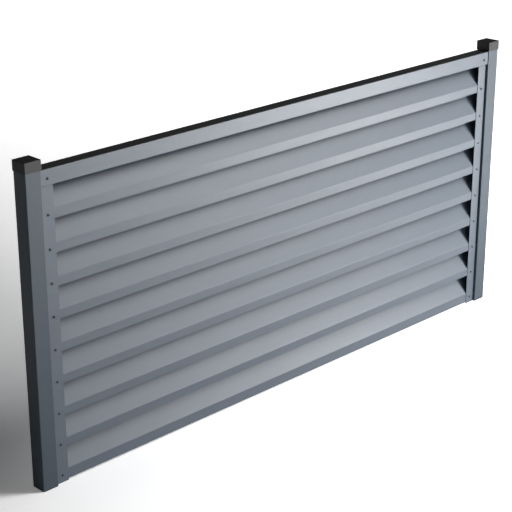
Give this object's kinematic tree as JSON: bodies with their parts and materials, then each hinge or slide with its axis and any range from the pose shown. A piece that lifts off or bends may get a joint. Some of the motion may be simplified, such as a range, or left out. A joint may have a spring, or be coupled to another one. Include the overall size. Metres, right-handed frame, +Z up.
{
  "type": "louvered fence panel",
  "caption": "Bay of louvered metal fencing: Z-folded slats held in upright side channels between square capped tube posts, under a folded top rail.",
  "frame": {"origin": "the middle of the left post's foot, at ground level", "axes": "+X runs along the bay to the right post, -Y is the front, where the slats' lower edges face, and +Z is up"},
  "size_m": [2.4674, 0.0674, 1.183],
  "materials": {
    "post_coating": "satin powder coat",
    "sheet_coating": "satin powder coat",
    "cap_plastic": "matt moulded plastic"
  },
  "bodies": {
    "root": {"left_post": "post_coating", "right_post": "post_coating", "left_post_cap": "cap_plastic", "right_post_cap": "cap_plastic", "left_side_channel": "sheet_coating", "right_side_channel": "sheet_coating", "top_rail": "sheet_coating", "slat_1": "sheet_coating", "slat_2": "sheet_coating", "slat_3": "sheet_coating", "slat_4": "sheet_coating", "slat_5": "sheet_coating", "slat_6": "sheet_coating", "slat_7": "sheet_coating", "slat_8": "sheet_coating", "slat_9": "sheet_coating"}
  },
  "joints": []
}
